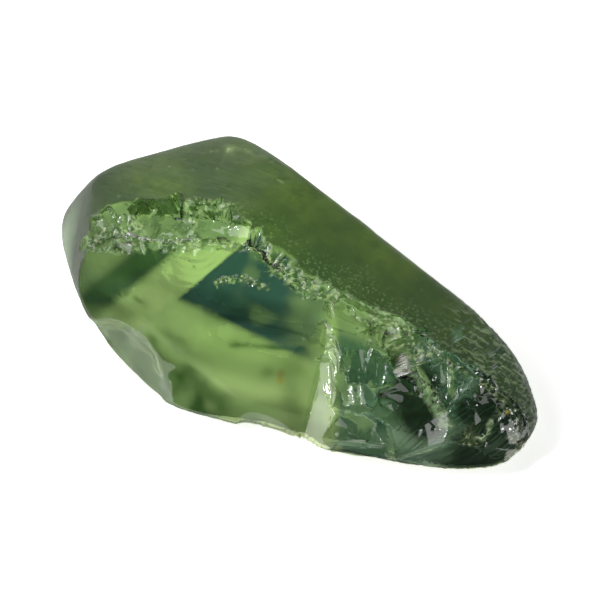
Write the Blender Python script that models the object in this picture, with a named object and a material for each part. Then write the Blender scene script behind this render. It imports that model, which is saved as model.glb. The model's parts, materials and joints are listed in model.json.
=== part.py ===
"""A rough green sapphire: a water-worn pebble of corundum with its front broken away.

The worn pebble is a rounded block of nearly flat faces, and its belly is ground to a small flat
spot that it rests on. Scars are then struck out of it, one Boolean cutter for each: two broad
ones that took the front away, smaller scars and flakes inside them, and a row of small chips
along the ridge above them. Units are metres and +Z is up. The long way of the stone lies along X,
its broken side faces -Y, and the origin is on the flat spot that it rests on.
"""

import bpy
import bmesh
import math
import random
from mathutils import Matrix, Vector, noise

MM = 0.001

# Driving dimensions of the worn pebble, in millimetres
HEART = Vector((-0.4, 0.3, 1.8))
HALF_SIZE = Vector((6.6, 3.4, 2.1))
EDGE_SHARPNESS = 16.0
ICO_LEVEL = 5
LUMP_HEIGHT = 0.05
LUMP_WIDTH = 1.7

# Each worn face: bearing round Z and rise above level in degrees, distance from the heart in mm
WORN_FACES = {
    "upper left": (122, 88, 2.16),
    "upper right": (355, 71, 1.46),
    "back": (91, -4, 4.5),
    "back right": (70, 22, 3.01),
    "back left": (132, 17, 5.12),
    "left end": (179, 6, 7.08),
    "left shoulder": (206, 31, 5.16),
    "left undercut": (222, -27, 4.32),
    "front": (258, -4, 3.46),
    "front right": (283, -11, 3.55),
    "right end": (342, -2, 6.82),
    "right shoulder": (40, 20, 4.65),
    "under back": (92, -62, 2.34),
    "under left": (188, -68, 2.76),
    "under front": (272, -72, 2.34),
    "under right": (353, -82, 2.4),
    "belly": (0, -90, 1.87),
}

# Scars struck out of the worn pebble, in this order, each one shallow bowl with steep sides.
# middle: a point on the scar in mm. facing: its bearing and rise in degrees. turn: how far it is
# turned about its facing, in degrees. size: wide and high in mm. bowl: the radius it is hollowed
# to, in mm.
SCARS = {
    "broad_front": dict(middle=(-2.6, -1.1, 2.45), facing=(292, 44), turn=-12, size=(7.2, 11), bowl=70),
    "broad_right": dict(middle=(3.4, -0.75, 1.46), facing=(294, 54), turn=0, size=(12, 7), bowl=24),
    "crushed_lip": dict(middle=(-3.4, -0.3, 3.6), facing=(290, 60), turn=-3, size=(4.4, 1.2), bowl=20),
    "lower_front": dict(middle=(-1.85, -1.97, 1.36), facing=(284, 33), turn=-20, size=(4.6, 5.5), bowl=14),
    "plate": dict(middle=(1.4, -1.11, 1.37), facing=(237, 38), turn=26, size=(1.12, 4.4), bowl=9),
    "lens": dict(middle=(1.9, -1.0, 1.42), facing=(278, 50), turn=14, size=(1.1, 2.6), bowl=3),
    "dark_green": dict(middle=(2.3, -0.7, 1.48), facing=(306, 56), turn=22, size=(1.0, 2.0), bowl=4),
    "dark_oval": dict(middle=(3.52, -0.66, 0.8), facing=(280, 42), turn=26, size=(1.6, 1.9), bowl=1.6),
    "triangle": dict(middle=(3.65, 0.05, 1.6), facing=(316, 46), turn=28, size=(1.3, 1.7), bowl=3),
    "pale_facet": dict(middle=(4.62, 0.05, 1.36), facing=(296, 66), turn=-8, size=(1.5, 1.2), bowl=4),
    "grey_flat": dict(middle=(4.82, -0.5, 0.84), facing=(300, 48), turn=-18, size=(1.1, 1.3), bowl=30),
    "low_left": dict(middle=(2.35, -1.65, 0.85), facing=(276, 36), turn=8, size=(2.0, 1.0), bowl=4),
}
SCAR_STEPS = 12
SCAR_HEIGHT = 5.0
SCAR_FLARE = 1.12

# Rounder flakes struck off afterwards, each by a flattened ball. middle, facing, turn and size as
# above. depth: how deep it bit, in mm.
FLAKES = {
    "ledge": dict(middle=(-3.75, 0.45, 3.9), facing=(270, 80), turn=14, size=(4.0, 1.2), depth=0.28),
    "teal_hollow": dict(middle=(-0.9, -0.45, 2.55), facing=(292, 40), turn=20, size=(3.1, 2.5), depth=0.2),
    "upper_steps": dict(middle=(1.5, 0.05, 2.35), facing=(296, 60), turn=-22, size=(2.5, 1.3), depth=0.22),
    "upper_patch": dict(middle=(2.75, 0.25, 2.15), facing=(288, 64), turn=-30, size=(2.0, 1.2), depth=0.24),
    "left_wave": dict(middle=(-4.3, -1.3, 2.85), facing=(284, 48), turn=-20, size=(3.2, 2.6), depth=0.16),
    "under_left": dict(middle=(-3.3, -2.3, 1.1), facing=(250, 12), turn=-30, size=(2.6, 1.6), depth=0.3),
    "foot_notch": dict(middle=(0.6, -2.3, 0.3), facing=(262, 12), turn=0, size=(1.8, 1.2), depth=0.16),
    "black_green": dict(middle=(5.35, -0.35, 0.95), facing=(312, 46), turn=10, size=(1.3, 1.6), depth=0.34),
}
FLAKE_ROUND = 3.0
FLAKE_LEVEL = 4

# Small angular chips along the ridge where the two broad scars meet the worn top. For each scar:
# how far across it the chips run, in mm
RIDGE_RUNS = {"broad_front": (-2.9, 3.0), "broad_right": (-1.9, 2.9)}
CHIP_SPACING = (0.3, 0.7)
CHIP_WIDE = (0.6, 1.3)
CHIP_HIGH = (0.35, 0.65)
CHIP_DEPTH = (0.08, 0.2)
CHIP_FACING = ((276, 308), (56, 78))
CHIP_TURN = (-60, 20)
CHIP_LEVEL = 1
CHIP_SEED = 7
RIDGE_HALVINGS = 16

SKIN_COLOUR = (0.10, 0.17, 0.05, 1.0)
SKIN_ROUGHNESS = 0.3
SAPPHIRE_IOR = 1.77


def heading(bearing, rise):
    """The unit vector with this bearing round Z and this rise above level, in degrees."""
    turn, lift = math.radians(bearing), math.radians(rise)
    return Vector((math.cos(turn) * math.cos(lift), math.sin(turn) * math.cos(lift), math.sin(lift)))


def placed(middle, facing, turn):
    """A scar's own frame: its Z faces out of the stone, its X is level and its Y runs up the slope."""
    out = heading(*facing)
    level = Vector((0, 0, 1)).cross(out).normalized()
    axes = Matrix((level, out.cross(level), out)).transposed().to_4x4()
    return Matrix.Translation(Vector(middle) * MM) @ axes @ Matrix.Rotation(math.radians(turn), 4, "Z")


def collection(name):
    made = bpy.data.collections.new(name)
    bpy.context.scene.collection.children.link(made)
    return made


def move_to(home, thing):
    for owner in list(thing.users_collection):
        owner.objects.unlink(thing)
    home.objects.link(thing)


def clear_scene():
    for old in list(bpy.data.objects):
        bpy.data.objects.remove(old, do_unlink=True)


def worn_point(way):
    """Where the worn surface is along this way from the heart, in millimetres."""
    crowding = 0.0
    for bearing, rise, distance in WORN_FACES.values():
        share = heading(bearing, rise).dot(way) / distance
        if share > 0:
            crowding += share ** EDGE_SHARPNESS
    point = way / crowding ** (1 / EDGE_SHARPNESS)
    lump = noise.noise(point / LUMP_WIDTH) * LUMP_HEIGHT
    return HEART + point + point.normalized() * lump


def grind_flat_spot(mesh):
    """Cuts the belly off level at the origin's height, and closes the cut with one flat face."""
    work = bmesh.new()
    work.from_mesh(mesh)
    geometry = work.verts[:] + work.edges[:] + work.faces[:]
    cut = bmesh.ops.bisect_plane(work, geom=geometry, plane_co=(0, 0, 0), plane_no=(0, 0, -1), clear_outer=True)
    rim = [part for part in cut["geom_cut"] if isinstance(part, bmesh.types.BMEdge)]
    bmesh.ops.holes_fill(work, edges=rim, sides=0)
    work.to_mesh(mesh)
    work.free()


def worn_pebble(home):
    bpy.ops.mesh.primitive_ico_sphere_add(subdivisions=ICO_LEVEL, radius=1.0)
    pebble = bpy.context.active_object
    pebble.name = "sapphire"
    for vertex in pebble.data.vertices:
        way = Vector(a * b for a, b in zip(vertex.co, HALF_SIZE))
        vertex.co = worn_point(way) * MM
    grind_flat_spot(pebble.data)
    move_to(home, pebble)
    return pebble


def as_cutter(home, cutter):
    cutter.hide_render = True
    cutter.display_type = "WIRE"
    move_to(home, cutter)
    return cutter


def scar_cutter(home, name, middle, facing, turn, size, bowl):
    """A block whose underside is the bowl of a scar, and whose sides flare outwards."""
    bpy.ops.mesh.primitive_grid_add(x_subdivisions=SCAR_STEPS, y_subdivisions=SCAR_STEPS, size=1.0)
    cutter = bpy.context.active_object
    cutter.name = name
    work = bmesh.new()
    work.from_mesh(cutter.data)
    for vertex in work.verts:
        across, along = vertex.co.x * size[0], vertex.co.y * size[1]
        vertex.co = Vector((across, along, (across ** 2 + along ** 2) / (2 * bowl))) * MM
    lid = bmesh.ops.extrude_face_region(work, geom=work.faces[:])
    for vertex in lid["geom"]:
        if isinstance(vertex, bmesh.types.BMVert):
            vertex.co = Vector((vertex.co.x * SCAR_FLARE, vertex.co.y * SCAR_FLARE, SCAR_HEIGHT * MM))
    bmesh.ops.recalc_face_normals(work, faces=work.faces[:])
    work.to_mesh(cutter.data)
    work.free()
    cutter.matrix_world = placed(middle, facing, turn)
    return as_cutter(home, cutter)


def flake_cutter(home, name, middle, facing, turn, size, depth, level=FLAKE_LEVEL):
    """A flattened ball that bites a flake of this size and depth out of the surface."""
    bite = math.sqrt(1 - (1 - 1 / FLAKE_ROUND) ** 2)
    bpy.ops.mesh.primitive_ico_sphere_add(subdivisions=level, radius=1.0)
    cutter = bpy.context.active_object
    cutter.name = name
    reach = Matrix.Diagonal((size[0] / 2 / bite * MM, size[1] / 2 / bite * MM, FLAKE_ROUND * depth * MM, 1))
    stand_off = Matrix.Translation((0, 0, (FLAKE_ROUND - 1) * depth * MM))
    cutter.data.transform(stand_off @ reach)
    cutter.matrix_world = placed(middle, facing, turn)
    return as_cutter(home, cutter)


def ridge_point(scar, across):
    """Where a broad scar's plane comes out of the worn pebble, this far across it, in millimetres."""
    frame = placed(scar["middle"], scar["facing"], scar["turn"])
    inside, outside = 0.0, scar["size"][1] / 2
    for halving in range(RIDGE_HALVINGS):
        along = (inside + outside) / 2
        point = frame @ (Vector((across, along, 0)) * MM) / MM
        from_heart = point - HEART
        if from_heart.length < (worn_point(from_heart) - HEART).length:
            inside = along
        else:
            outside = along
    return point


def ridge_chips():
    """Seeded places and sizes for the small chips along the ridge."""
    dice = random.Random(CHIP_SEED)
    chips = {}
    for scar, (start, end) in RIDGE_RUNS.items():
        across = start
        while across < end:
            chips[f"chip_{len(chips) + 1}"] = dict(
                middle=ridge_point(SCARS[scar], across),
                facing=[dice.uniform(*limits) for limits in CHIP_FACING],
                turn=dice.uniform(*CHIP_TURN),
                size=(dice.uniform(*CHIP_WIDE), dice.uniform(*CHIP_HIGH)),
                depth=dice.uniform(*CHIP_DEPTH),
                level=CHIP_LEVEL,
            )
            across += dice.uniform(*CHIP_SPACING)
    return chips


def strike(stone, cutter):
    """Cuts the stone with one cutter, by a Boolean modifier that stays live."""
    cut = stone.modifiers.new(cutter.name, "BOOLEAN")
    cut.operation = "DIFFERENCE"
    cut.solver = "EXACT"
    cut.object = cutter


def skin_material():
    skin = bpy.data.materials.new("green sapphire")
    skin.use_nodes = True
    shader = skin.node_tree.nodes["Principled BSDF"]
    shader.inputs["Base Color"].default_value = SKIN_COLOUR
    shader.inputs["Roughness"].default_value = SKIN_ROUGHNESS
    shader.inputs["Metallic"].default_value = 0.0
    shader.inputs["IOR"].default_value = SAPPHIRE_IOR
    return skin


def main():
    clear_scene()
    stone_home = collection("green_sapphire")
    cutter_home = collection("scar_cutters")
    stone = worn_pebble(stone_home)
    stone.data.materials.append(skin_material())
    cutters = [scar_cutter(cutter_home, name, **scar) for name, scar in SCARS.items()]
    cutters += [flake_cutter(cutter_home, name, **flake) for name, flake in (FLAKES | ridge_chips()).items()]
    for cutter in cutters:
        strike(stone, cutter)


main()
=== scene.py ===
# %% [markdown]
# A rough green sapphire, from a plain solid to a broken crystal
#
# The stone is a water-worn pebble with its front broken away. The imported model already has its
# outline, its two broad scars and its larger flakes. This script gives it what a close view shows:
# small chips along every sharp edge, the soft waves of the worn skin, ripples on the glassy
# faces, and a clear green body that is darker and bluer in some growth zones.

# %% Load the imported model
import json
import math
import bpy
import numpy as np
from mathutils import Matrix, Vector

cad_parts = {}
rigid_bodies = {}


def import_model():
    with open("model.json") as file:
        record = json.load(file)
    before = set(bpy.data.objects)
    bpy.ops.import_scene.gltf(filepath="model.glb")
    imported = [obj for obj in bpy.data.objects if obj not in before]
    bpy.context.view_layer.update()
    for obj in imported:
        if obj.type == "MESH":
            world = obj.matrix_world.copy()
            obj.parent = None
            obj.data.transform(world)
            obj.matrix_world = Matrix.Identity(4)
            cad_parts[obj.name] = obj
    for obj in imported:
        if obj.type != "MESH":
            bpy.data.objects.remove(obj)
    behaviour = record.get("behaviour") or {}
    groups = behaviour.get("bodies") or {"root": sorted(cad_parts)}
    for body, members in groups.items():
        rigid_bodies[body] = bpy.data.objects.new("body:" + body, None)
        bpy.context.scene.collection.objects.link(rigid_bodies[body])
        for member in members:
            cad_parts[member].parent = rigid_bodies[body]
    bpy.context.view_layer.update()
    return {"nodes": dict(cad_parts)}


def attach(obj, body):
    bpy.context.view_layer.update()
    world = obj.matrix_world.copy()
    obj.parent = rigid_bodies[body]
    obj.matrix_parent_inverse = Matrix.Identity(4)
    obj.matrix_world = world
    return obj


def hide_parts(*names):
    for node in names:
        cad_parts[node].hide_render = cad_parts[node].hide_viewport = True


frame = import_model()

MM = 0.001

# %% [markdown]
# The camera looks down on the stone from the front, a little from its right, as one would hold a
# macro lens over a table. A very long lens gives almost parallel lines of sight, which is how
# such close pictures look. The picture's middle is a point on the table in front of the camera.

# %% Camera
VIEW_BEARING = 22.0
VIEW_HEIGHT = 50.0
PICTURE_WIDTH = 15.42 * MM
PICTURE_MIDDLE = Vector((-0.874, 2.185, 0.0)) * MM
LENS = 400.0
SENSOR = 36.0

turn, lift = math.radians(VIEW_BEARING), math.radians(VIEW_HEIGHT)
to_camera = Vector((math.sin(turn) * math.cos(lift), -math.cos(turn) * math.cos(lift), math.sin(lift)))
camera_data = bpy.data.cameras.new("camera")
camera_data.lens = LENS
camera_data.sensor_width = SENSOR
camera_data.clip_start = 0.001
camera = bpy.data.objects.new("camera", camera_data)
bpy.context.scene.collection.objects.link(camera)
camera.location = PICTURE_MIDDLE + to_camera * (PICTURE_WIDTH * LENS / SENSOR)
camera.rotation_euler = to_camera.to_track_quat("Z", "Y").to_euler()
bpy.context.scene.camera = camera
print("camera", round(camera.location.length / MM), "mm from the stone")

# %% [markdown]
# The stone lies on a white table that glows a little, as paper does under studio light. A plain
# plane is enough for it. It lies a hair below the resting spot, so that the two faces don't share
# one plane: where they do, a see-through body shows a flickering patch.

# %% Table
TABLE_WIDTH = 600
TABLE_DROP = 0.02
TABLE_GLOW = 0.74

bpy.ops.mesh.primitive_plane_add(size=TABLE_WIDTH * MM, location=(0, 0, -TABLE_DROP * MM))
table = bpy.context.active_object
table.name = "table"
table_top = bpy.data.materials.new("lit white table")
table_top.use_nodes = True
table_shader = table_top.node_tree.nodes["Principled BSDF"]
table_shader.inputs["Base Color"].default_value = (0.9, 0.9, 0.9, 1.0)
table_shader.inputs["Roughness"].default_value = 0.7
table_shader.inputs["Emission Color"].default_value = (1.0, 1.0, 1.0, 1.0)
table_shader.inputs["Emission Strength"].default_value = TABLE_GLOW
table.data.materials.append(table_top)
print("table", TABLE_WIDTH, "mm wide")

# %% [markdown]
# Crystal shows the room around it. Large dim panels give soft sheens on flat breaks, the darkness
# between them draws the edges, and one small lamp makes the crushed edges sparkle. A bright small
# panel instead of the large one would turn each flat flake into a scrap of white paper.

# %% Lights
# place in mm, width in mm, power in watts
LIGHTS = {
    "panel left": ((-150, -60, 105), 210, 0.29),
    "panel behind": ((-70, 170, 90), 130, 0.08),
    "panel right": ((170, 60, 60), 110, 0.06),
    "small lamp": ((-120, -110, 160), 28, 0.08),
}
ROOM_LIGHT = 0.04

for name, (place, size, power) in LIGHTS.items():
    panel = bpy.data.lights.new(name, "AREA")
    panel.shape = "SQUARE"
    panel.size = size * MM
    panel.energy = power
    holder = bpy.data.objects.new(name, panel)
    bpy.context.scene.collection.objects.link(holder)
    holder.location = Vector(place) * MM
    holder.rotation_euler = holder.location.to_track_quat("Z", "Y").to_euler()

world = bpy.data.worlds.new("studio")
bpy.context.scene.world = world
world.use_nodes = True
world.node_tree.nodes["Background"].inputs["Color"].default_value = (1.0, 1.0, 1.0, 1.0)
world.node_tree.nodes["Background"].inputs["Strength"].default_value = ROOM_LIGHT
bpy.context.scene.view_settings.view_transform = "Standard"
print("lights:", ", ".join(LIGHTS))

# %% [markdown]
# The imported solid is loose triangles, each with its own corners. Detail can be carved only into
# one closed skin, so the work is done on a copy whose corners are merged. The solid itself is
# left as it is.

# %% A merged copy of the solid
MERGE_WITHIN = 0.0005


def select_only(thing):
    for other in list(bpy.context.selected_objects):
        other.select_set(False)
    bpy.context.view_layer.objects.active = thing
    thing.select_set(True)


stone = frame["nodes"]["sapphire"].copy()
stone.data = stone.data.copy()
stone.name = "rough_stone"
stone.parent = None
bpy.context.scene.collection.objects.link(stone)
for leftover in list(stone.keys()):
    if leftover.startswith("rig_"):
        del stone[leftover]
select_only(stone)
bpy.ops.object.mode_set(mode="EDIT")
bpy.ops.mesh.select_all(action="SELECT")
bpy.ops.mesh.remove_doubles(threshold=MERGE_WITHIN * MM)
bpy.ops.mesh.normals_make_consistent(inside=False)
bpy.ops.object.mode_set(mode="OBJECT")
print("merged copy:", len(stone.data.vertices), "points,", len(stone.data.polygons), "faces")

# %% [markdown]
# Where the river wore the pebble, its skin is one smooth rounded block. Knowing that block tells
# for every point whether it is old worn skin or a fresh break, and how deep the break bit. The
# block is the same list of worn faces that the solid was made from.

# %% The worn block
HEART = np.array((-0.4, 0.3, 1.8))
EDGE_SHARPNESS = 16.0
# bearing and rise of each face's outward way in degrees, and its distance from the heart in mm
WORN_FACES = {
    "upper left": (122, 88, 2.16),
    "upper right": (355, 71, 1.46),
    "back": (91, -4, 4.5),
    "back right": (70, 22, 3.01),
    "back left": (132, 17, 5.12),
    "left end": (179, 6, 7.08),
    "left shoulder": (206, 31, 5.16),
    "left undercut": (222, -27, 4.32),
    "front": (258, -4, 3.46),
    "front right": (283, -11, 3.55),
    "right end": (342, -2, 6.82),
    "right shoulder": (40, 20, 4.65),
    "under back": (92, -62, 2.34),
    "under left": (188, -68, 2.76),
    "under front": (272, -72, 2.34),
    "under right": (353, -82, 2.4),
    "belly": (0, -90, 1.87),
}


def heading(bearing, rise):
    """The unit vector with this bearing round Z and this rise above level, in degrees."""
    round_z, up = math.radians(bearing), math.radians(rise)
    return np.array((math.cos(round_z) * math.cos(up), math.sin(round_z) * math.cos(up), math.sin(up)))


def depth_under_skin(points):
    """How many mm each point, in mm, lies under the worn skin of the whole pebble."""
    ways = points - HEART
    far = np.linalg.norm(ways, axis=1)
    pull = np.stack([heading(bearing, rise) / distance
                     for bearing, rise, distance in WORN_FACES.values()])
    share = np.clip(ways @ pull.T, 0, None)
    crowding = (share ** EDGE_SHARPNESS).sum(1) ** (1 / EDGE_SHARPNESS)
    return far * (1 / crowding - 1)


def points_of(thing):
    """Every point of a mesh, in mm, and its normal."""
    count = len(thing.data.vertices)
    places, normals = np.empty(count * 3), np.empty(count * 3)
    thing.data.vertices.foreach_get("co", places)
    thing.data.vertices.foreach_get("normal", normals)
    return places.reshape(-1, 3) / MM, normals.reshape(-1, 3)


depth = depth_under_skin(points_of(stone)[0])
print("points on worn skin:", int((depth < 0.06).sum()))
print("deepest break in mm:", round(float(depth.max()), 2))

# %% [markdown]
# The blow also left thin blades, steps and curled shells at the right end, with clean sharp
# rims. They could be painted on, but they catch the light from any side only if they are real.
# So blocks and flattened balls are laid on the stone where they lie, and each is cut away.

# %% Cutting tools for blades and shells
SLAB_HEIGHT = 0.6
SHELL_RUN = (1, 0.3, -0.2)
SHELL_FINENESS = 4
# start, end, outward way, width to the left of the run in mm
BLADES = {
    "long blade": ((2.79, 0.17, 1.84), (4.28, -0.82, 0.72), (-0.17, -0.82, 0.55), 0.34),
    "small blade": ((5.44, 0.04, 0.85), (5.21, -0.66, 0.50), (-0.17, -0.82, 0.55), 0.24),
    "pale ridge": ((3.88, 0.36, 1.66), (4.21, -0.11, 1.19), (-0.50, -0.60, 0.62), 0.14),
    "high step": ((0.69, 0.37, 2.66), (1.15, 0.10, 2.22), (-0.40, -0.57, 0.71), 0.18),
    "second step": ((1.20, 0.52, 2.52), (1.70, 0.20, 2.14), (-0.40, -0.57, 0.71), 0.15),
}
# middle, outward way, width, height and depth in mm
SHELLS = {
    "curl": ((4.56, -0.10, 1.26), (0.35, -0.50, 0.79), 0.55, 0.42, 0.10),
    "small curl": ((4.24, -0.14, 1.20), (0.45, -0.55, 0.70), 0.36, 0.44, 0.09),
    "inner curl": ((4.78, -0.18, 1.08), (0.20, -0.60, 0.77), 0.34, 0.30, 0.09),
}


def lay_on(thing, middle, along, outward, half_length, half_width, half_height):
    """Lays a unit shape at a place in mm, with its length along one way and its top facing outward."""
    outward = Vector(outward).normalized()
    along = Vector(along)
    along = (along - outward * along.dot(outward)).normalized()
    side = outward.cross(along)
    axes = Matrix((along * half_length, side * half_width, outward * half_height)).transposed()
    thing.data.transform(Matrix.Translation(Vector(middle) * MM) @ axes.to_4x4() @ Matrix.Scale(MM, 4))


tools = []
for start, end, outward, width in BLADES.values():
    run = Vector(end) - Vector(start)
    side = run.normalized().cross(Vector(outward).normalized())
    underside = (Vector(start) + Vector(end)) / 2 + side * width / 2
    bpy.ops.mesh.primitive_cube_add(size=2.0)
    tools.append(bpy.context.active_object)
    lay_on(tools[-1], underside + Vector(outward).normalized() * SLAB_HEIGHT, run, outward,
           run.length / 2, width / 2, SLAB_HEIGHT)
for middle, outward, wide, high, deep in SHELLS.values():
    bpy.ops.mesh.primitive_ico_sphere_add(subdivisions=SHELL_FINENESS, radius=1.0)
    tools.append(bpy.context.active_object)
    lay_on(tools[-1], middle, SHELL_RUN, outward, wide / 2, high / 2, deep)
print("cutting tools laid on the stone:", len(tools))

# %% [markdown]
# Each tool is cut away by a Boolean modifier of its own, which is applied before the next one. So
# two tools may overlap, as the curls do, and every cut leaves a closed body behind.

# %% Cut the blades and shells away
def apply_modifier(thing, modifier):
    select_only(thing)
    bpy.ops.object.modifier_apply(modifier=modifier.name)


for tool in tools:
    cut = stone.modifiers.new("cut", "BOOLEAN")
    cut.operation = "DIFFERENCE"
    cut.solver = "EXACT"
    cut.object = tool
    apply_modifier(stone, cut)
    bpy.data.objects.remove(tool, do_unlink=True)
print("faces after the cuts:", len(stone.data.polygons))

# %% [markdown]
# To carve finer detail, the skin needs small faces of even size. Subdividing would keep the long
# thin triangles of the solid. A voxel remesh gives even ones, and keeps the body closed.

# %% An even fine skin
GRAIN = 0.036

remesh = stone.modifiers.new("even skin", "REMESH")
remesh.mode = "VOXEL"
remesh.voxel_size = GRAIN * MM
remesh.use_smooth_shade = True
apply_modifier(stone, remesh)
print("fine skin:", len(stone.data.polygons), "faces")

# %% [markdown]
# Low on the left the breaks are old, and water has rounded them. A Smooth modifier that works
# through a vertex group wears only these places, most at their middle.

# %% Soften the old breaks low on the left
SOFT_FACTOR = 0.8
OLD_BREAK_ROUNDS = 160
# middle and radius in mm
OLD_BREAKS = [((-4.9, -2.0, 1.2), 1.5), ((-3.4, -2.1, 1.1), 1.1), ((-1.2, -2.6, 0.3), 1.2)]


def soften_spots(thing, spots, rounds):
    """Smooths the skin inside each ball, given as its middle and radius in mm, most at the middle."""
    here = points_of(thing)[0]
    group = thing.vertex_groups.new(name="soft")
    for middle, reach in spots:
        away = np.linalg.norm(here - np.array(middle), axis=1)
        for index in np.flatnonzero(away < reach):
            group.add([int(index)], float(1 - (away[index] / reach) ** 2), "REPLACE")
    soften = thing.modifiers.new("soften", "SMOOTH")
    soften.vertex_group = "soft"
    soften.factor = SOFT_FACTOR
    soften.iterations = rounds
    apply_modifier(thing, soften)
    thing.vertex_groups.clear()


soften_spots(stone, OLD_BREAKS, OLD_BREAK_ROUNDS)
print("softened spots:", len(OLD_BREAKS))

# %% [markdown]
# Many of the marks below follow a line, such as the ridge, or fade with height. A few small
# helpers do this for all points at once: a soft step, smooth random lumps, the distance to a bent
# line, and how near a point lies to such a line.

# %% Helpers for places on the stone
def unit(way):
    return way / np.linalg.norm(way)


def smooth_step(low, high, values):
    share = np.clip((values - low) / (high - low), 0, 1)
    return share * share * (3 - 2 * share)


def grain_noise(points, cell, seed):
    """Smooth random values between -1 and 1, with lumps about one cell wide, in mm."""
    side = 48
    lattice = np.random.default_rng(seed).random((side, side, side)) * 2 - 1
    spots = points / cell + side // 2
    corner = np.floor(spots).astype(int)
    part = spots - corner
    part = part * part * (3 - 2 * part)
    total = np.zeros(len(points))
    for step in np.ndindex(2, 2, 2):
        share = np.where(np.array(step), part, 1 - part).prod(axis=1)
        total += share * lattice[tuple(((corner + step) % side).T)]
    return total


def distance_to_path(points, path):
    """How far each point lies from a bent line, all in mm."""
    path = [np.array(corner) for corner in path]
    if len(path) == 1:
        return np.linalg.norm(points - path[0], axis=1)
    nearest = np.full(len(points), 1e9)
    for start, end in zip(path, path[1:]):
        run = end - start
        share = np.clip((points - start) @ run / (run @ run), 0, 1)
        nearest = np.minimum(nearest, np.linalg.norm(points - start - share[:, None] * run, axis=1))
    return nearest


def near_path(points, path, full, none, wobble=0.0):
    """1 up to the full distance from a line and 0 from the other one on, both in mm."""
    return 1 - smooth_step(full, none, distance_to_path(points, path) + wobble)


print("noise at the heart:", round(float(grain_noise(HEART[None], 0.5, 1)[0]), 3))

# %% [markdown]
# The crushed bands and the fields of small flat breaks hold hundreds of marks. Cut by a Boolean,
# so many would be slow and could leave holes. Here each is pressed into the even skin: the points
# under the mark's footprint move back onto its flat or hollow underside.

# %% Press one mark
MARK_HEIGHT = 0.45
RAGGED = 0.5
RAGGED_SEED = 21


def press(points, near, freedom, seat, half_length, half_width, hollow, taper=0.0):
    """Moves the near points above a mark's underside back onto it, as far as each is free to.

    The seat is the mark's middle, its outward way and the way that it runs."""
    middle, outward, along = seat
    outward = unit(outward)
    along = unit(along - outward * (along @ outward))
    side = np.cross(outward, along)
    offset = points[near] - middle
    height, x, y = offset @ outward, offset @ along / half_length, offset @ side / half_width
    y = y / (1 - taper * (np.clip(x, -1, 1) + 1) / 2)
    y = y + taper * RAGGED * grain_noise(points[near], half_width, RAGGED_SEED)
    underside = -hollow * np.clip(1 - x * x - y * y, 0, 1)
    under = (abs(x) < 1) & (abs(y) < 1) & (height > underside) & (height < MARK_HEIGHT)
    points[near[under]] -= outward * ((height - underside) * freedom[near])[under, None]
    return near[under]


print("a mark reaches", MARK_HEIGHT, "mm above its underside")

# %% [markdown]
# First come the flat breaks of the right half. They lie in fields: along the ridge they run with
# it, and below it they run down to the front. A mark may move only skin that looks up and is
# clear of the table and of the one smooth dark hollow, so that the outline stays whole.

# %% Fields of flat breaks
MARK_SEED = 11
SMOOTH_HOLLOW = (3.65, -0.70, 0.80)
DOWN_FRONT = (0.45, -0.68, -0.58)
ALONG_RIDGE = (0.90, -0.05, -0.43)
WANDER = 0.18
FLAT_SHAPE, FLAT_SHAPES = 0.42, (0.6, 1.2)
DEEPEST_SEAT = 0.03
TAPERS = (0.3, 0.9)
FULL_SHADE_LEAN = 20
# middle, reach from it in mm, way that they run, how many, shortest and longest, most lean in degrees
FLAT_FIELDS = {
    "steps": ((1.5, 0.1, 2.2), 0.85, ALONG_RIDGE, 12, 0.5, 1.1, 30),
    "lens side": ((1.9, -0.9, 1.5), 0.8, DOWN_FRONT, 22, 0.5, 1.2, 26),
    "dark middle": ((3.2, -0.5, 1.3), 0.9, DOWN_FRONT, 26, 0.4, 1.1, 26),
    "right end": ((5.0, -0.3, 0.9), 1.0, DOWN_FRONT, 16, 0.4, 0.9, 20),
    "above the rim": ((3.4, -1.6, 0.7), 1.4, ALONG_RIDGE, 12, 0.8, 1.6, 24),
}

places, normals = points_of(stone)
chance = np.random.default_rng(MARK_SEED)
flake_painted_light_and_shade = np.zeros(len(places))
freedom = smooth_step(0.0, 0.35, normals[:, 2]) * smooth_step(0.3, 0.8, places[:, 2])
freedom *= smooth_step(0.3, 0.65, distance_to_path(places, [SMOOTH_HOLLOW]))
for middle, reach, run, count, shortest, longest, lean in FLAT_FIELDS.values():
    near = np.flatnonzero((distance_to_path(places, [middle]) < reach + longest) & (freedom > 0))
    seats = near[np.linalg.norm(places[near] - np.array(middle), axis=1) < reach]
    seats = seats[freedom[seats] > 0.5]
    for seat in chance.choice(seats, count):
        along = unit(np.array(run) + chance.normal(size=3) * WANDER)
        sideways = unit(np.cross(normals[seat], along))
        outward = unit(normals[seat] + sideways * math.tan(math.radians(chance.uniform(-lean, lean))))
        length = chance.uniform(shortest, longest)
        width = length * FLAT_SHAPE * chance.uniform(*FLAT_SHAPES)
        bottom = places[seat] - outward * chance.uniform(0.0, DEEPEST_SEAT)
        face = press(places, near, freedom, (bottom, outward, along), length / 2, width / 2,
                     0.0, chance.uniform(*TAPERS))
        # the flake gets a painted tone, dark as shade or pale as light, fuller the more it may lean
        flake_painted_light_and_shade[face] = chance.uniform(-1, 1) * min(1.0, lean / FULL_SHADE_LEAN)
print("flat breaks:", sum(field[3] for field in FLAT_FIELDS.values()))

# %% [markdown]
# Then come the crushed bands. Wherever two broken faces meet, the rim crumbled into tiny hollow
# chips: along the ridge, along the lip over the broad face, and all over the ledge above it. Each
# band follows a bent line, which the material uses again later to make the same places white.

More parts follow.
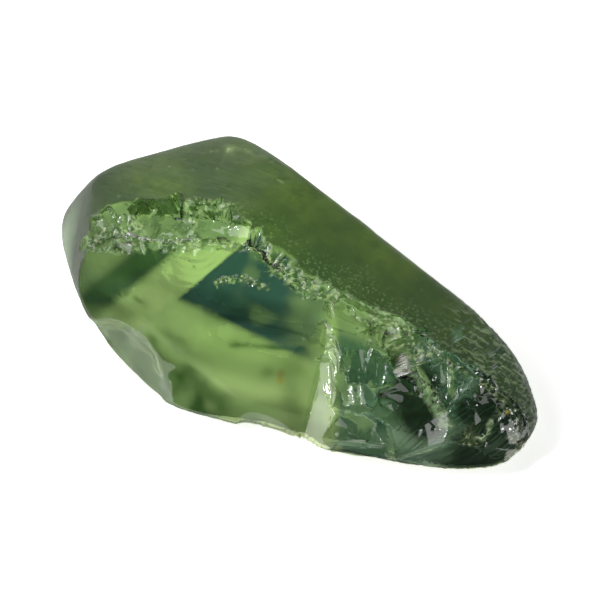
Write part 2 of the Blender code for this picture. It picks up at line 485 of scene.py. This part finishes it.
# %% Lines that the chips follow
RIDGE = [(-1.66, 0.71, 3.68), (-0.88, 0.49, 3.38), (-0.13, 0.35, 2.95), (0.93, 0.48, 2.69),
         (2.08, 0.36, 2.14), (3.47, 0.35, 1.97), (4.02, 0.36, 1.60), (4.87, 0.31, 1.44),
         (5.80, 0.08, 0.91), (6.19, -0.54, 0.57)]
LIP = [(-5.52, -0.73, 3.35), (-4.77, -0.53, 3.54), (-4.02, -0.32, 3.64), (-3.27, -0.12, 3.68),
       (-2.45, 0.26, 3.74), (-1.69, 0.65, 3.65)]
LEDGE = [(-5.50, -0.63, 3.44), (-4.96, -0.04, 3.67), (-4.42, 0.67, 3.77), (-3.25, 1.21, 3.89),
         (-2.40, 1.37, 3.85)]
LEDGE_MIDDLE = [(-5.0, -0.25, 3.60), (-4.3, 0.30, 3.70), (-3.3, 0.75, 3.75), (-2.5, 0.90, 3.75)]
STREAK = [(-2.1, -0.35, 2.98), (-1.5, -0.05, 3.05), (-0.9, 0.0, 2.85)]
WHITE_PATCH = [(1.93, 0.39, 2.23), (2.44, 0.49, 2.07), (2.97, 0.37, 1.92)]
# path, reach from it in mm, how many, narrowest and widest in mm
CRUSHED_RUNS = {
    "ledge shells": (LEDGE_MIDDLE, 0.30, 40, 0.20, 0.75),
    "ridge": (RIDGE[:6], 0.19, 240, 0.06, 0.24),
    "ridge end": (RIDGE[5:], 0.09, 70, 0.05, 0.16),
    "lip": (LIP, 0.20, 170, 0.07, 0.26),
    "ledge": (LEDGE, 0.12, 40, 0.08, 0.24),
    "streak": (STREAK, 0.07, 40, 0.05, 0.13),
    "white patch": (WHITE_PATCH, 0.36, 110, 0.08, 0.28),
    "rim glints": ([(4.98, -0.84, 0.51)], 0.22, 12, 0.06, 0.14),
    "end glints": ([(5.99, -0.33, 0.56)], 0.20, 8, 0.06, 0.14),
}
print("crushed runs:", ", ".join(CRUSHED_RUNS))

# %% [markdown]
# The chips are pressed in at random points of each band. Where a crystal crumbles, most chips are
# small and a few are large, so their size comes from a squared random number. Each mark also
# leaves a random painted tone on its points, dark as painted shade or pale as painted light, which
# stands for the other part of the stone's inside that each flake shows, so neighbouring flakes differ.

# %% Chips along the crushed bands
CHIP_LEAN = 0.35
CHIP_SINK, CHIP_HOLLOW = 0.08, 0.12


def keep_values(thing, name, values):
    """Stores one number for each point, which the material reads by name."""
    layer = thing.data.attributes.new(name, "FLOAT", "POINT")
    layer.data.foreach_set("value", values.astype(np.float32))


chips = 0
for path, reach, count, narrow, wide in CRUSHED_RUNS.values():
    near = np.flatnonzero((distance_to_path(places, path) < reach + wide) & (freedom > 0))
    seats = near[distance_to_path(places[near], path) < reach]
    if not len(seats):
        continue
    for seat in chance.choice(seats, count):
        outward = unit(normals[seat] + chance.normal(size=3) * CHIP_LEAN)
        size = narrow + (wide - narrow) * chance.random() ** 2
        bottom = places[seat] - outward * size * CHIP_SINK
        along = chance.normal(size=3)
        face = press(places, near, freedom, (bottom, outward, along), size * chance.uniform(0.5, 1.0),
                     size / 2, size * CHIP_HOLLOW)
        # the chip gets a painted tone, dark as shade or pale as light
        flake_painted_light_and_shade[face] = chance.uniform(-1, 1)
        chips += 1
stone.data.vertices.foreach_set("co", (places * MM).ravel())
stone.data.update()
keep_values(stone, "flake_painted_light_and_shade", flake_painted_light_and_shade)
print("chips pressed in:", chips)

# %% [markdown]
# Where two marks almost meet, a fin as thin as paper can stay between them, which no real crystal
# keeps. A light smoothing all over blunts these, and the one sharp corner over the table gets more.

# %% Blunt the thin fins
BLUNT_FACTOR = 0.5
BLUNT_ROUNDS = 3
THIN_CORNERS = [((1.83, -2.62, 0.80), 0.6)]
THIN_CORNER_ROUNDS = 50

blunt = stone.modifiers.new("blunt thin fins", "SMOOTH")
blunt.factor = BLUNT_FACTOR
blunt.iterations = BLUNT_ROUNDS
apply_modifier(stone, blunt)
soften_spots(stone, THIN_CORNERS, THIN_CORNER_ROUNDS)
print("thin corners rounded:", len(THIN_CORNERS))

# %% [markdown]
# The smoothing and the remesh left the worn skin a little off its true place, mostly along its
# rounded edges. So points that lie close to it are moved back onto it. At the back nothing is
# broken, and there points from further off are taken too.

# %% Put the worn skin back in place
WORN_DEPTHS = (0.02, 0.09)
FOOT_HEIGHTS = (0.10, 0.16)
SNAP_FULL, SNAP_NONE, SNAP_MORE_BEHIND = 0.02, 0.06, 0.07


def worn_share(points):
    """1 on the old worn skin and on the spot that the stone rests on, 0 on a fresh break."""
    on_skin = 1 - smooth_step(*WORN_DEPTHS, depth_under_skin(points))
    return np.maximum(on_skin, 1 - smooth_step(*FOOT_HEIGHTS, points[:, 2]))


places, normals = points_of(stone)
worn = worn_share(places)
ways = places - HEART
ways /= np.linalg.norm(ways, axis=1)[:, None]
behind = smooth_step(0.9, 1.5, places[:, 1])
off_skin = depth_under_skin(places)
on_skin = 1 - smooth_step(SNAP_FULL, SNAP_NONE, np.abs(off_skin) - SNAP_MORE_BEHIND * behind)
places += ways * (off_skin * on_skin)[:, None]
print("points put back on the worn skin:", int((on_skin > 0.5).sum()))

# %% [markdown]
# The relief of each point follows from its history. Water wore the old skin to shallow waves with
# a few tiny pits, and the far end is scratched. Real relief catches the light at the outline too,
# which a bump in the material can't do.

# %% Relief of the worn skin
# height in mm, cell in mm, seed
WAVES = {"wave": (0.018, 0.55, 1), "ripple": (0.005, 0.16, 2)}
PIT_DEPTH, PIT_CELL, PIT_SEED = 0.009, 0.13, 3
SCRATCH_HEIGHT, SCRATCH_CELL, SCRATCH_SEED = 0.024, 0.14, 4
SCRATCH_RUN = np.array([[0.35, 2.2, 0.0], [0.16, -1.0, 0.0], [0.0, 0.0, 2.5]])


def span(values):
    """The lowest and highest of many values, for printing."""
    return f"{values.min():.3f} to {values.max():.3f}"


standing = smooth_step(0.05, 0.4, places[:, 2])
looks_up = smooth_step(-0.1, 0.25, normals[:, 2])
far_end = smooth_step(2.6, 4.2, places[:, 0]) * worn
relief = np.zeros(len(places))
for height, cell, seed in WAVES.values():
    relief += worn * standing * height * grain_noise(places, cell, seed)
relief -= worn * looks_up * PIT_DEPTH * smooth_step(0.45, 0.8, grain_noise(places, PIT_CELL, PIT_SEED))
relief += far_end * SCRATCH_HEIGHT * grain_noise(places @ SCRATCH_RUN, SCRATCH_CELL, SCRATCH_SEED)
print("relief of the worn skin in mm:", span(relief))

# %% [markdown]
# A blow sends waves through a crystal, which leave rings round the place that it struck. The broad
# face also swells and dips a little, and its lower left edge is uneven. The underside is wavy, and
# since one looks through the stone at it, this is what makes the broad face glow unevenly.

# %% Relief of the fresh breaks and the underside
# place of the blow, distance between rings, height and reach in mm
BLOWS = {
    "ledge": ((-3.3, 2.1, 4.3), 0.19, 0.022, 1.9),
    "lip": ((-3.0, 0.3, 3.9), 0.22, 0.004, 2.2),
}
# height in mm, cell in mm, seed
SWELLS = {"wide": (0.075, 1.7, 7), "small": (0.02, 0.7, 17)}
LOW_LEFT_EDGE = [(-4.6, -1.8, 2.1), (-3.75, -1.95, 1.8), (-3.2, -2.05, 1.5), (-2.7, -2.4, 0.9)]
UNEVEN_EDGE, UNEVEN_CELL, UNEVEN_SEED = 0.07, 0.42, 23
UNDER_WAVE, UNDER_CELL, UNDER_SEED = 0.20, 0.8, 8

for blow, ring, height, reach in BLOWS.values():
    away = np.linalg.norm(places - np.array(blow), axis=1)
    away += 0.14 * grain_noise(places, 0.5, 6)
    fading = 1 - smooth_step(reach * 0.6, reach, away)
    relief += (1 - worn) * height * np.sin(2 * math.pi * away / ring) * fading
broad = (1 - worn) * (1 - smooth_step(0.4, 1.0, places[:, 0]))
relief += broad * sum(height * grain_noise(places, cell, seed)
                      for height, cell, seed in SWELLS.values())
edge = near_path(places, LOW_LEFT_EDGE, 0.2, 0.7)
relief += UNEVEN_EDGE * edge * grain_noise(places, UNEVEN_CELL, UNEVEN_SEED)
underside = smooth_step(0.2, 0.7, -normals[:, 2]) * (1 - smooth_step(1.6, 2.4, places[:, 2]))
relief -= underside * UNDER_WAVE * (1 + grain_noise(places, UNDER_CELL, UNDER_SEED)) / 2
print("relief with breaks and underside in mm:", span(relief))

# %% [markdown]
# Some narrow faces are combed: fine lines run down them, side by side. The same noise does this
# when space is squeezed along the run of the comb.

# %% Combed faces
COMB_STRETCH = 0.93
COMB_SEED = 9
# start and end of the comb's run, reach, height and width of its lines in mm
COMBED = {
    "plate": ((0.87, -0.41, 1.84), (1.45, -1.85, 0.55), 0.45, 0.026, 0.13),
    "long blade": ((2.79, 0.17, 1.84), (4.28, -0.82, 0.72), 0.30, 0.005, 0.07),
    "small blade": ((5.44, 0.04, 0.85), (5.21, -0.66, 0.50), 0.20, 0.012, 0.07),
    "lined face": ((1.9, -0.2, 1.9), (2.3, -0.7, 1.5), 0.35, 0.012, 0.07),
}

for start, end, reach, height, cell in COMBED.values():
    run = unit(np.array(end) - np.array(start))
    near = near_path(places, [start, end], reach * 0.7, reach)
    stretched = places - np.outer(places @ run, run) * COMB_STRETCH
    relief += near * (1 - worn) * height * grain_noise(stretched, cell, COMB_SEED)
places += normals * relief[:, None]
stone.data.vertices.foreach_set("co", (places * MM).ravel())
stone.data.update()
print("relief in all in mm:", span(relief))

# %% [markdown]
# Most of the small faces lie on plain areas that don't need them, so they are thinned there. The
# Decimate modifier keeps them where the shape bends. Crumbs that hang loose are deleted: all that
# isn't joined to the stone's highest point.

# %% Thin the plain areas
MOST_TRIANGLES = 185000
CREASE_ANGLE = 32


def drop_crumbs(thing):
    """Deletes every loose bit that isn't joined to the highest point."""
    highest = int(points_of(thing)[0][:, 2].argmax())
    select_only(thing)
    bpy.ops.object.mode_set(mode="EDIT")
    bpy.ops.mesh.select_all(action="DESELECT")
    bpy.ops.object.mode_set(mode="OBJECT")
    thing.data.vertices[highest].select = True
    bpy.ops.object.mode_set(mode="EDIT")
    bpy.ops.mesh.select_linked()
    bpy.ops.mesh.select_all(action="INVERT")
    bpy.ops.mesh.delete(type="VERT")
    bpy.ops.object.mode_set(mode="OBJECT")


thin = stone.modifiers.new("thin", "DECIMATE")
thin.ratio = min(1.0, MOST_TRIANGLES / (2 * len(stone.data.polygons)))
apply_modifier(stone, thin)
drop_crumbs(stone)
bpy.ops.object.shade_smooth_by_angle(angle=math.radians(CREASE_ANGLE))
print("stone:", len(stone.data.polygons), "faces")

# %% [markdown]
# The finish of each point follows from its history too. Worn skin is silky and dark, a fresh break
# is as clear as glass, and bands along its edges are crushed to white grain. These are kept as
# values on the points, so that the shapes and the colours agree. A painted image would need a
# map of the whole skin, and would blur at this size.

# %% Values: worn skin and crushed bands
LOW_LEFT_FACE = [(-4.1, -1.85, 1.15), (-2.8, -2.35, 0.65)]

places, normals = points_of(stone)
worn = np.maximum(worn_share(places), 0.8 * smooth_step(-0.1, 0.25, -normals[:, 2]))
keep_values(stone, "worn", worn)
keep_values(stone, "under", smooth_step(0.0, 0.4, -normals[:, 2]))
low_left = near_path(places, LOW_LEFT_FACE, 0.45, 1.0)
keep_values(stone, "low_left", low_left * smooth_step(0.02, 0.2, normals[:, 2]))
crushed = np.zeros(len(places))
for path, reach, count, narrow, wide in CRUSHED_RUNS.values():
    crushed = np.maximum(crushed, near_path(places, path, reach * 0.5, reach * 1.5))
crushed *= (1 - 0.7 * worn) * (1 - 0.6 * smooth_step(4.2, 4.9, places[:, 0]))
keep_values(stone, "crushed", crushed)
print("share of worn skin:", round(float(worn.mean()), 2))
print("share crushed:", round(float(crushed.mean()), 2))

# %% [markdown]
# Inside a real crystal, healed cracks hang like veils and dim the light. Some bands here are such
# cracks and a brown smudge; most are painted light and painted shade, the inner reflections that
# the broad face shows. All are soft bands on the broad broken face, each given by its two ends.
# Surfaces inside the stone would be truer, because they shift as it turns, but loose sheets would
# break up its one closed skin.

# %% Values: painted inner light and shade, and cracks, in the broad face
BROAD_FACE_WAY = np.array((0.2695, -0.667, 0.6947))
# start and end in mm, width in mm, strength: above 0 is painted lighter, below 0 painted darker
PAINTED_INNER_LIGHT_AND_CRACKS = {
    "wedge, left side": ((-3.21, -1.85, 1.89), (-1.68, -2.68, 0.50), 0.22, -0.55),
    "wedge, middle": ((-2.30, -2.10, 1.35), (-1.20, -2.30, 0.70), 0.30, -0.75),
    "wedge, top line": ((-3.06, -1.67, 2.00), (-2.40, -1.59, 1.82), 0.05, -0.45),
    "light line over the wedge": ((-3.49, -1.71, 2.13), (-0.99, -1.99, 0.89), 0.06, 0.80),
    "light line left of it": ((-3.61, -1.75, 2.13), (-2.62, -2.56, 0.98), 0.06, 0.90),
    "bottom, left": ((-1.81, -2.71, 0.52), (-0.41, -2.40, 0.27), 0.30, -0.60),
    "bottom, right": ((-0.41, -2.40, 0.27), (0.80, -1.97, 0.22), 0.35, -0.55),
    "line under the teal": ((-1.36, -1.21, 1.78), (0.34, -0.61, 1.71), 0.07, -0.80),
    "grey veil in the teal": ((-1.23, -1.05, 1.89), (0.50, -0.12, 2.11), 0.22, -0.35),
    "right side": ((0.06, -0.96, 1.47), (0.46, -1.67, 0.64), 0.42, -0.65),
    "brown smudge": ((-0.41, -1.36, 1.28), (-0.30, -1.30, 1.30), 0.12, -0.40),
    "dark band": ((-4.88, -1.63, 2.75), (-3.56, -0.23, 3.58), 0.14, -0.50),
    "crack, left part": ((-4.75, -1.66, 2.67), (-4.14, -1.39, 2.69), 0.03, -0.80),
    "crack, right part": ((-4.14, -1.39, 2.69), (-3.66, -1.35, 2.54), 0.03, -0.80),
    "left smudge": ((-4.30, -1.70, 2.40), (-3.60, -1.60, 2.30), 0.20, -0.35),
    "small hook": ((-2.77, -0.20, 3.30), (-2.75, -0.31, 3.19), 0.02, -1.00),
}


def seen_flat(points):
    """Drops the depth under the broad broken face, so that only the place along the face counts."""
    points = np.asarray(points, dtype=float)
    return points - np.outer(points @ BROAD_FACE_WAY, BROAD_FACE_WAY)


on_face = seen_flat(places)
painted_inner_light_and_cracks_sum = np.zeros(len(places))
for start, end, width, strength in PAINTED_INNER_LIGHT_AND_CRACKS.values():
    frayed = 0.5 * width * grain_noise(places, 0.35, 18)
    away = distance_to_path(on_face, seen_flat([start, end])) + frayed
    painted_inner_light_and_cracks_sum += strength * np.exp(-(np.clip(away, 0, None) / width) ** 2)
keep_values(stone, "painted_inner_light_and_cracks", np.clip(painted_inner_light_and_cracks_sum, -1, 1) * (1 - worn))
print("veils:", len(PAINTED_INNER_LIGHT_AND_CRACKS), "from darkest to lightest:", span(painted_inner_light_and_cracks_sum))

# %% [markdown]
# A sapphire grows in flat layers, and some layers took in more of what makes it blue. So the teal
# zone, the bright zone and the dark band have straight edges that lie parallel to each other.
# A single growth way, and the distance along it, gives all three.

# %% Values: growth zones
GROWTH_START = np.array((-0.874, 2.1845, 0.0))
GROWTH_WAY = np.array((-0.816, 0.303, 0.4925))
LOWER_WAY = np.array((0.137, 0.802, 0.581))
LOWER_EDGE = -1.32
TEAL_END = (1.98, 2.03)
BRIGHT_START, BRIGHT_END = (2.0, 2.1), (2.6, 2.9)
BAND_START, BAND_FADE = (2.8, 3.05), (3.5, 3.9)

growth = (places - GROWTH_START) @ GROWTH_WAY
above_edge = (places - GROWTH_START) @ LOWER_WAY - LOWER_EDGE
teal = (1 - smooth_step(*TEAL_END, growth)) * smooth_step(-0.1, 0.12, above_edge)
teal *= 1 - smooth_step(0.4, 1.1, places[:, 0])
uneven = smooth_step(0.1, 0.6, grain_noise(places, 0.45, 19))
teal *= 1 - 0.14 * smooth_step(-0.5, 0.3, places[:, 0]) - 0.10 * uneven
teal *= 1 - worn
keep_values(stone, "teal", teal)
bright = smooth_step(*BRIGHT_START, growth) * (1 - smooth_step(*BRIGHT_END, growth))
bright *= smooth_step(1.6, 2.6, places[:, 2]) * (1 - worn)
keep_values(stone, "bright", bright)
band = smooth_step(*BAND_START, growth) * (1 - 0.5 * smooth_step(*BAND_FADE, growth))
keep_values(stone, "band", band * smooth_step(1.9, 2.5, places[:, 2]) * (1 - worn))
print("share of teal:", round(float(teal.mean()), 3))
print("share of the bright zone:", round(float(bright.mean()), 3))

# %% [markdown]
# The right half is another growth zone, dark and bluish. In the smooth hollow, on the grey face
# and at the far end, where one looks along the crystal and not through it, near-black is painted
# as shade. The same painted value also darkens a small eye in the teal zone.

# %% Values: the dark zone, the low rim and painted shade
HOLLOW = [(3.3, -0.35, 1.2), (3.7, -0.85, 0.8)]
GREY_FACE = [(4.7, -0.35, 1.0), (4.95, -0.45, 0.8)]
EYE = [(-1.93, -0.55, 2.63), (-0.91, -0.34, 2.45), (0.11, -0.04, 2.34)]

side_step = places[:, 0] + 0.45 * places[:, 1] + 0.1 * grain_noise(places, 0.4, 13)
stepped = smooth_step(-0.3, 0.3, places[:, 1]) * (1 - smooth_step(2.2, 3.2, places[:, 0]))
keep_values(stone, "dark", smooth_step(0.85, 1.15, side_step) * (1 - 0.40 * stepped))
rim = (1 - smooth_step(0.55, 0.95, places[:, 2])) * smooth_step(1.4, 2.0, places[:, 0])
keep_values(stone, "rim", rim * (1 - worn))
# painted shade: near black in the smooth hollow, on the grey face and at the far end
painted_shade_and_dark_eye = np.maximum(near_path(places, HOLLOW, 0.45, 0.85), near_path(places, GREY_FACE, 0.25, 0.45))
painted_shade_and_dark_eye = np.maximum(painted_shade_and_dark_eye, smooth_step(4.3, 4.9, places[:, 0] + 0.2 * grain_noise(places, 0.5, 14)))
eye = near_path(on_face, seen_flat(EYE), 0.10, 0.34, 0.08 * grain_noise(places, 0.3, 22))
painted_shade_and_dark_eye = np.maximum(painted_shade_and_dark_eye, 0.5 * eye * teal)
keep_values(stone, "painted_shade_and_dark_eye", painted_shade_and_dark_eye)
print("share of the darkest places:", round(float(painted_shade_and_dark_eye.mean()), 3))

# %% [markdown]
# The broken ledge is darker and greyer. A pale sheen is painted down the blades and over the
# plate, where their faces catch the light, and two small warm specks are painted glints.

# %% Values: the ledge, painted sheens and painted glints
# path, full and no effect in mm, strength
PAINTED_SHEENS = {
    "long blade": ([(3.05, -0.10, 1.72), (3.70, -0.42, 1.15), (4.28, -0.82, 0.75)], 0.08, 0.24, 1.0),
    "small blade": ([(5.44, 0.04, 0.85), (5.21, -0.66, 0.50)], 0.05, 0.14, 1.0),
    "pale ridge": ([(3.92, 0.30, 1.62), (4.21, -0.11, 1.19)], 0.05, 0.15, 1.0),
    "plate": ([(0.95, -0.70, 1.60), (1.35, -1.80, 0.60)], 0.14, 0.34, 0.55),
}
# places of the two small warm specks, which are painted glints
PAINTED_GLINT_ON_FACE = [(0.02, -1.33, 1.13)]
PAINTED_GLINT_AT_END = [(5.62, 0.05, 0.90)]

keep_values(stone, "ledge", near_path(places, LEDGE_MIDDLE, 0.45, 0.75))
# painted sheen: the lit faces of the blades and the plate are made pale
painted_blade_sheen = np.zeros(len(places))
for path, full, none, strength in PAINTED_SHEENS.values():
    painted_blade_sheen = np.maximum(painted_blade_sheen, strength * near_path(places, path, full, none))
keep_values(stone, "painted_blade_sheen", painted_blade_sheen)
# painted glints: two small warm specks, one on the broad face and one at the far end
painted_warm_glint = near_path(on_face, seen_flat(PAINTED_GLINT_ON_FACE), 0.04, 0.11)
painted_warm_glint = np.maximum(painted_warm_glint, near_path(places, PAINTED_GLINT_AT_END, 0.04, 0.12))
keep_values(stone, "painted_warm_glint", painted_warm_glint)
print("painted_sheens:", len(PAINTED_SHEENS), "points with rust:", int((painted_warm_glint > 0.5).sum()))

# %% [markdown]
# The worn skin isn't even either. It grows darker toward the narrow end, is rubbed to fine sugar
# beside the ridge, is lined at the far end, and frosted where the left end turns under; there it is
# also painted pale, as a side that catches the light.

# %% Values: changes along the worn skin
toward_end = places[:, 0] - 0.9 * (places[:, 1] - 1.0) + 0.5 * grain_noise(places, 1.6, 12)
keep_values(stone, "skin_dark", smooth_step(-2.0, 5.4, toward_end))
near_ridge = near_path(places, RIDGE, 0.3, 1.3)
keep_values(stone, "near_ridge", near_ridge)
keep_values(stone, "far_end", smooth_step(3.0, 4.4, places[:, 0]))
lined = 0.7 * smooth_step(2.6, 4.2, places[:, 0])
keep_values(stone, "grain", 0.3 + np.maximum(near_ridge, lined))
# frosted left end, painted pale as a side that catches the light
pale = smooth_step(5.3, 6.2, -places[:, 0] + 0.5 * (1.8 - places[:, 2])) * worn
keep_values(stone, "pale", pale * (1 - smooth_step(-0.2, 1.0, places[:, 1])))
print("values on the points:", len(stone.data.attributes))

# %% [markdown]
# The crystal is clear and green all through, so it is glass with an absorbing body. Sapphire bends
# light by 1.77, more than window glass. The faces carry what differs from place to place. On a
# clear material the base colour tints what shines through, so a dark one makes a face look deep.

# %% Crystal
LIGHT_BENDING = 1.77
CLEARNESS = 0.89

crystal = bpy.data.materials.new("green sapphire crystal")
crystal.use_nodes = True
tree = crystal.node_tree
shader = tree.nodes["Principled BSDF"]
shader.inputs["Transmission Weight"].default_value = CLEARNESS
shader.inputs["IOR"].default_value = LIGHT_BENDING
print("crystal bends light by", LIGHT_BENDING, "and lets through", CLEARNESS)

# %% [markdown]
# A material is a net of small nodes. Each kind of node that is used often gets a short function,
# so that the recipes below read as sums: a value of the points, a mottle, a spread, a product,
# and one colour laid over another.

# %% Helpers for the nodes
coords = tree.nodes.new("ShaderNodeTexCoord")


def link(source, target):
    tree.links.new(source, target)


def value_of(name):
    """The stored point value of this name."""
    node = tree.nodes.new("ShaderNodeAttribute")
    node.attribute_name = name
    return node.outputs["Fac"]


def mottle(grains_per_mm, detail, stretch=None):
    """A soft random value between 0 and 1 that lies still on the stone."""
    node = tree.nodes.new("ShaderNodeTexNoise")
    node.inputs["Scale"].default_value = grains_per_mm / MM
    node.inputs["Detail"].default_value = detail
    source = coords.outputs["Object"]
    if stretch:
        mapping = tree.nodes.new("ShaderNodeMapping")
        mapping.inputs["Scale"].default_value = stretch
        link(source, mapping.inputs["Vector"])
        source = mapping.outputs["Vector"]
    link(source, node.inputs["Vector"])
    return node.outputs["Fac"]


def spread(value, low, high, to_low=0.0, to_high=1.0):
    """Moves the range low to high of a value to another range."""
    node = tree.nodes.new("ShaderNodeMapRange")
    link(value, node.inputs["Value"])
    ends = {"From Min": low, "From Max": high, "To Min": to_low, "To Max": to_high}
    for name, number in ends.items():
        node.inputs[name].default_value = number
    return node.outputs["Result"]


def combine(operation, one, two):
    """Adds or multiplies two values; the second may be a plain number."""
    node = tree.nodes.new("ShaderNodeMath")
    node.operation = operation
    link(one, node.inputs[0])
    if isinstance(two, float):
        node.inputs[1].default_value = two
    else:
        link(two, node.inputs[1])
    return node.outputs["Value"]


def times(one, two):
    return combine("MULTIPLY", one, two)


def blend_colours(share, under, over):
    """Lays one colour over another by a share; each is a colour or an earlier result."""
    node = tree.nodes.new("ShaderNodeMix")
    node.data_type = "RGBA"
    link(share, node.inputs["Factor"])
    for socket, colour in (("A", under), ("B", over)):
        if isinstance(colour, tuple):
            node.inputs[socket].default_value = colour + (1.0,)
        else:
            link(colour, node.inputs[socket])
    return node.outputs["Result"]


def lay_layers(colour, layers):
    """Lays each layer, a share and a colour, over what is there so far."""
    for share, over in layers:
        colour = blend_colours(share, colour, over)
    return colour


print("nodes to start with:", len(tree.nodes))

# %% [markdown]
# The broken faces are clear glass, a little greener in some places. Over that lie the growth
# zones, the painted inner light and shade with the cracks, and a painted dark or pale tone on each
# small flake, which stands for the other part of the stone's inside that each flake shows. The
# near-black painted shade and the painted sheen of the blades come last. The layers go from the
# widest to the smallest.

# %% Colour of the broken faces
glass = blend_colours(spread(mottle(0.35, 2.0), 0.35, 0.65), (0.66, 0.82, 0.42), (0.92, 1.0, 0.62))
# painted sheen of the blades and the plate, broken into streaks
painted_sheen_streaks = times(value_of("painted_blade_sheen"), spread(mottle(7.0, 2.0), 0.35, 0.6))
glass = lay_layers(glass, (
    (value_of("bright"), (0.95, 1.0, 0.60)),
    (value_of("band"), (0.03, 0.065, 0.055)),
    # painted inner light and painted shade, and the cracks, seen through the broad face
    (spread(value_of("painted_inner_light_and_cracks"), 0.0, 1.0), (1.0, 1.0, 0.85)),
    (spread(value_of("painted_inner_light_and_cracks"), 0.0, -1.0), (0.045, 0.11, 0.035)),
    (value_of("dark"), (0.045, 0.105, 0.13)),
    (value_of("rim"), (0.11, 0.19, 0.20)),
    (value_of("ledge"), (0.18, 0.23, 0.18)),
    (value_of("teal"), (0.009, 0.032, 0.095)),
    # painted shade and painted light of each flake, from its stored tone
    (spread(value_of("flake_painted_light_and_shade"), 0.1, 1.0, 0.0, 0.85), (0.008, 0.022, 0.016)),
    (spread(value_of("flake_painted_light_and_shade"), -0.4, -1.0, 0.0, 0.7), (0.50, 0.66, 0.52)),
    # painted shade, near black, in the hollow, on the grey face, at the far end and in the teal's eye
    (spread(value_of("painted_shade_and_dark_eye"), 0.0, 1.0, 0.0, 0.98), (0.001, 0.004, 0.003)),
    # painted sheen on the blades and the plate
    (painted_sheen_streaks, (0.80, 0.95, 0.92)),
))
print("nodes after the broken faces:", len(tree.nodes))

# %% [markdown]
# The worn skin is frosted and lets far less light through. It is mottled in olive and moss green,
# and its sugar and lines are paler. The underside is hardly tinted, so that the table shines in.

# %% Colour of the worn skin
scratches = mottle(9.0, 3.0, stretch=(0.16, 1.0, 0.8))
skin = blend_colours(spread(mottle(0.5, 3.0), 0.3, 0.7), (0.009, 0.020, 0.005), (0.050, 0.070, 0.009))
sugar = times(value_of("near_ridge"), spread(mottle(13.0, 2.0), 0.56, 0.66, 0.0, 0.45))
striae = times(value_of("far_end"), spread(scratches, 0.54, 0.64, 0.0, 0.45))
skin = lay_layers(skin, (
    (spread(mottle(2.6, 4.0), 0.42, 0.62, 0.0, 0.6), (0.010, 0.022, 0.005)),
    (value_of("skin_dark"), (0.0035, 0.011, 0.003)),
    (sugar, (0.22, 0.30, 0.20)),
    (striae, (0.30, 0.36, 0.32)),
    (value_of("under"), (0.90, 1.0, 0.50)),
    # frosted left end, painted pale as a lit side
    (value_of("pale"), (0.85, 0.95, 0.85)),
))
print("nodes after the worn skin:", len(tree.nodes))

# %% [markdown]
# Both meet by the worn share. The crushed bands lie on top, as dark cracks with white flakes
# between them. The flakes' colour leans away from green, because the light that reaches them has
# already been through the green body.

# %% Colour of the whole stone
low_green = blend_colours(spread(mottle(1.6, 3.0), 0.38, 0.62), (0.06, 0.13, 0.04), (0.40, 0.55, 0.30))
cracks = times(value_of("crushed"), spread(mottle(5.0, 3.0), 0.42, 0.62, 0.9, 0.1))
flakes = times(value_of("crushed"), spread(mottle(9.0, 3.0), 0.51, 0.60, 0.0, 0.9))
colour = lay_layers(blend_colours(value_of("worn"), glass, skin), (
    (times(value_of("low_left"), 0.8), low_green),
    (cracks, (0.035, 0.07, 0.03)),
    (flakes, (0.95, 0.78, 0.92)),
    # painted warm glints
    (value_of("painted_warm_glint"), (0.75, 0.42, 0.06)),
))
link(colour, shader.inputs["Base Color"])
print("nodes after the colours:", len(tree.nodes))

# %% [markdown]
# A fresh break is almost a mirror, worn skin is frosted, and crushed grain lies between. The
# underside is the roughest, so that it spreads the table's light. The finest scratches are a bump,
# because they are thinner than the skin's faces.

# %% Roughness and fine grain
SCRATCH_BUMP = 0.05
BUMP_STRENGTH = 0.7

rough = spread(value_of("worn"), 0.0, 1.0, 0.03, 0.52)
rough = combine("ADD", rough, times(value_of("under"), 0.16))
crumbly = times(value_of("crushed"), spread(mottle(4.0, 3.0), 0.4, 0.6, 0.05, 0.35))
link(combine("ADD", rough, crumbly), shader.inputs["Roughness"])
bump = tree.nodes.new("ShaderNodeBump")
bump.inputs["Distance"].default_value = SCRATCH_BUMP * MM
bump.inputs["Strength"].default_value = BUMP_STRENGTH
grain = times(times(value_of("grain"), value_of("worn")), spread(value_of("under"), 0.0, 1.0, 1.0, 0.2))
link(times(scratches, grain), bump.inputs["Height"])
link(bump.outputs["Normal"], shader.inputs["Normal"])
print("nodes in all:", len(tree.nodes))

# %% [markdown]
# The green comes from the body: the longer the way through it, the deeper the colour. The density
# is per metre, so a stone a few millimetres thick needs a high one.

# %% Absorbing body
BODY_COLOUR = (0.50, 0.84, 0.26)
BODY_DENSITY = 300.0

body = tree.nodes.new("ShaderNodeVolumeAbsorption")
body.inputs["Color"].default_value = BODY_COLOUR + (1.0,)
body.inputs["Density"].default_value = BODY_DENSITY
link(body.outputs["Volume"], tree.nodes["Material Output"].inputs["Volume"])
stone.data.materials.clear()
stone.data.materials.append(crystal)
print("absorption per mm in red, green and blue:",
      [round(BODY_DENSITY * MM * (1 - part), 3) for part in BODY_COLOUR])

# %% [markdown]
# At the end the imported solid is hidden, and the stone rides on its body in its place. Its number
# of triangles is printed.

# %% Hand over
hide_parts("sapphire")
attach(stone, "root")
print("finished stone:", sum(len(face.vertices) - 2 for face in stone.data.polygons), "triangles")
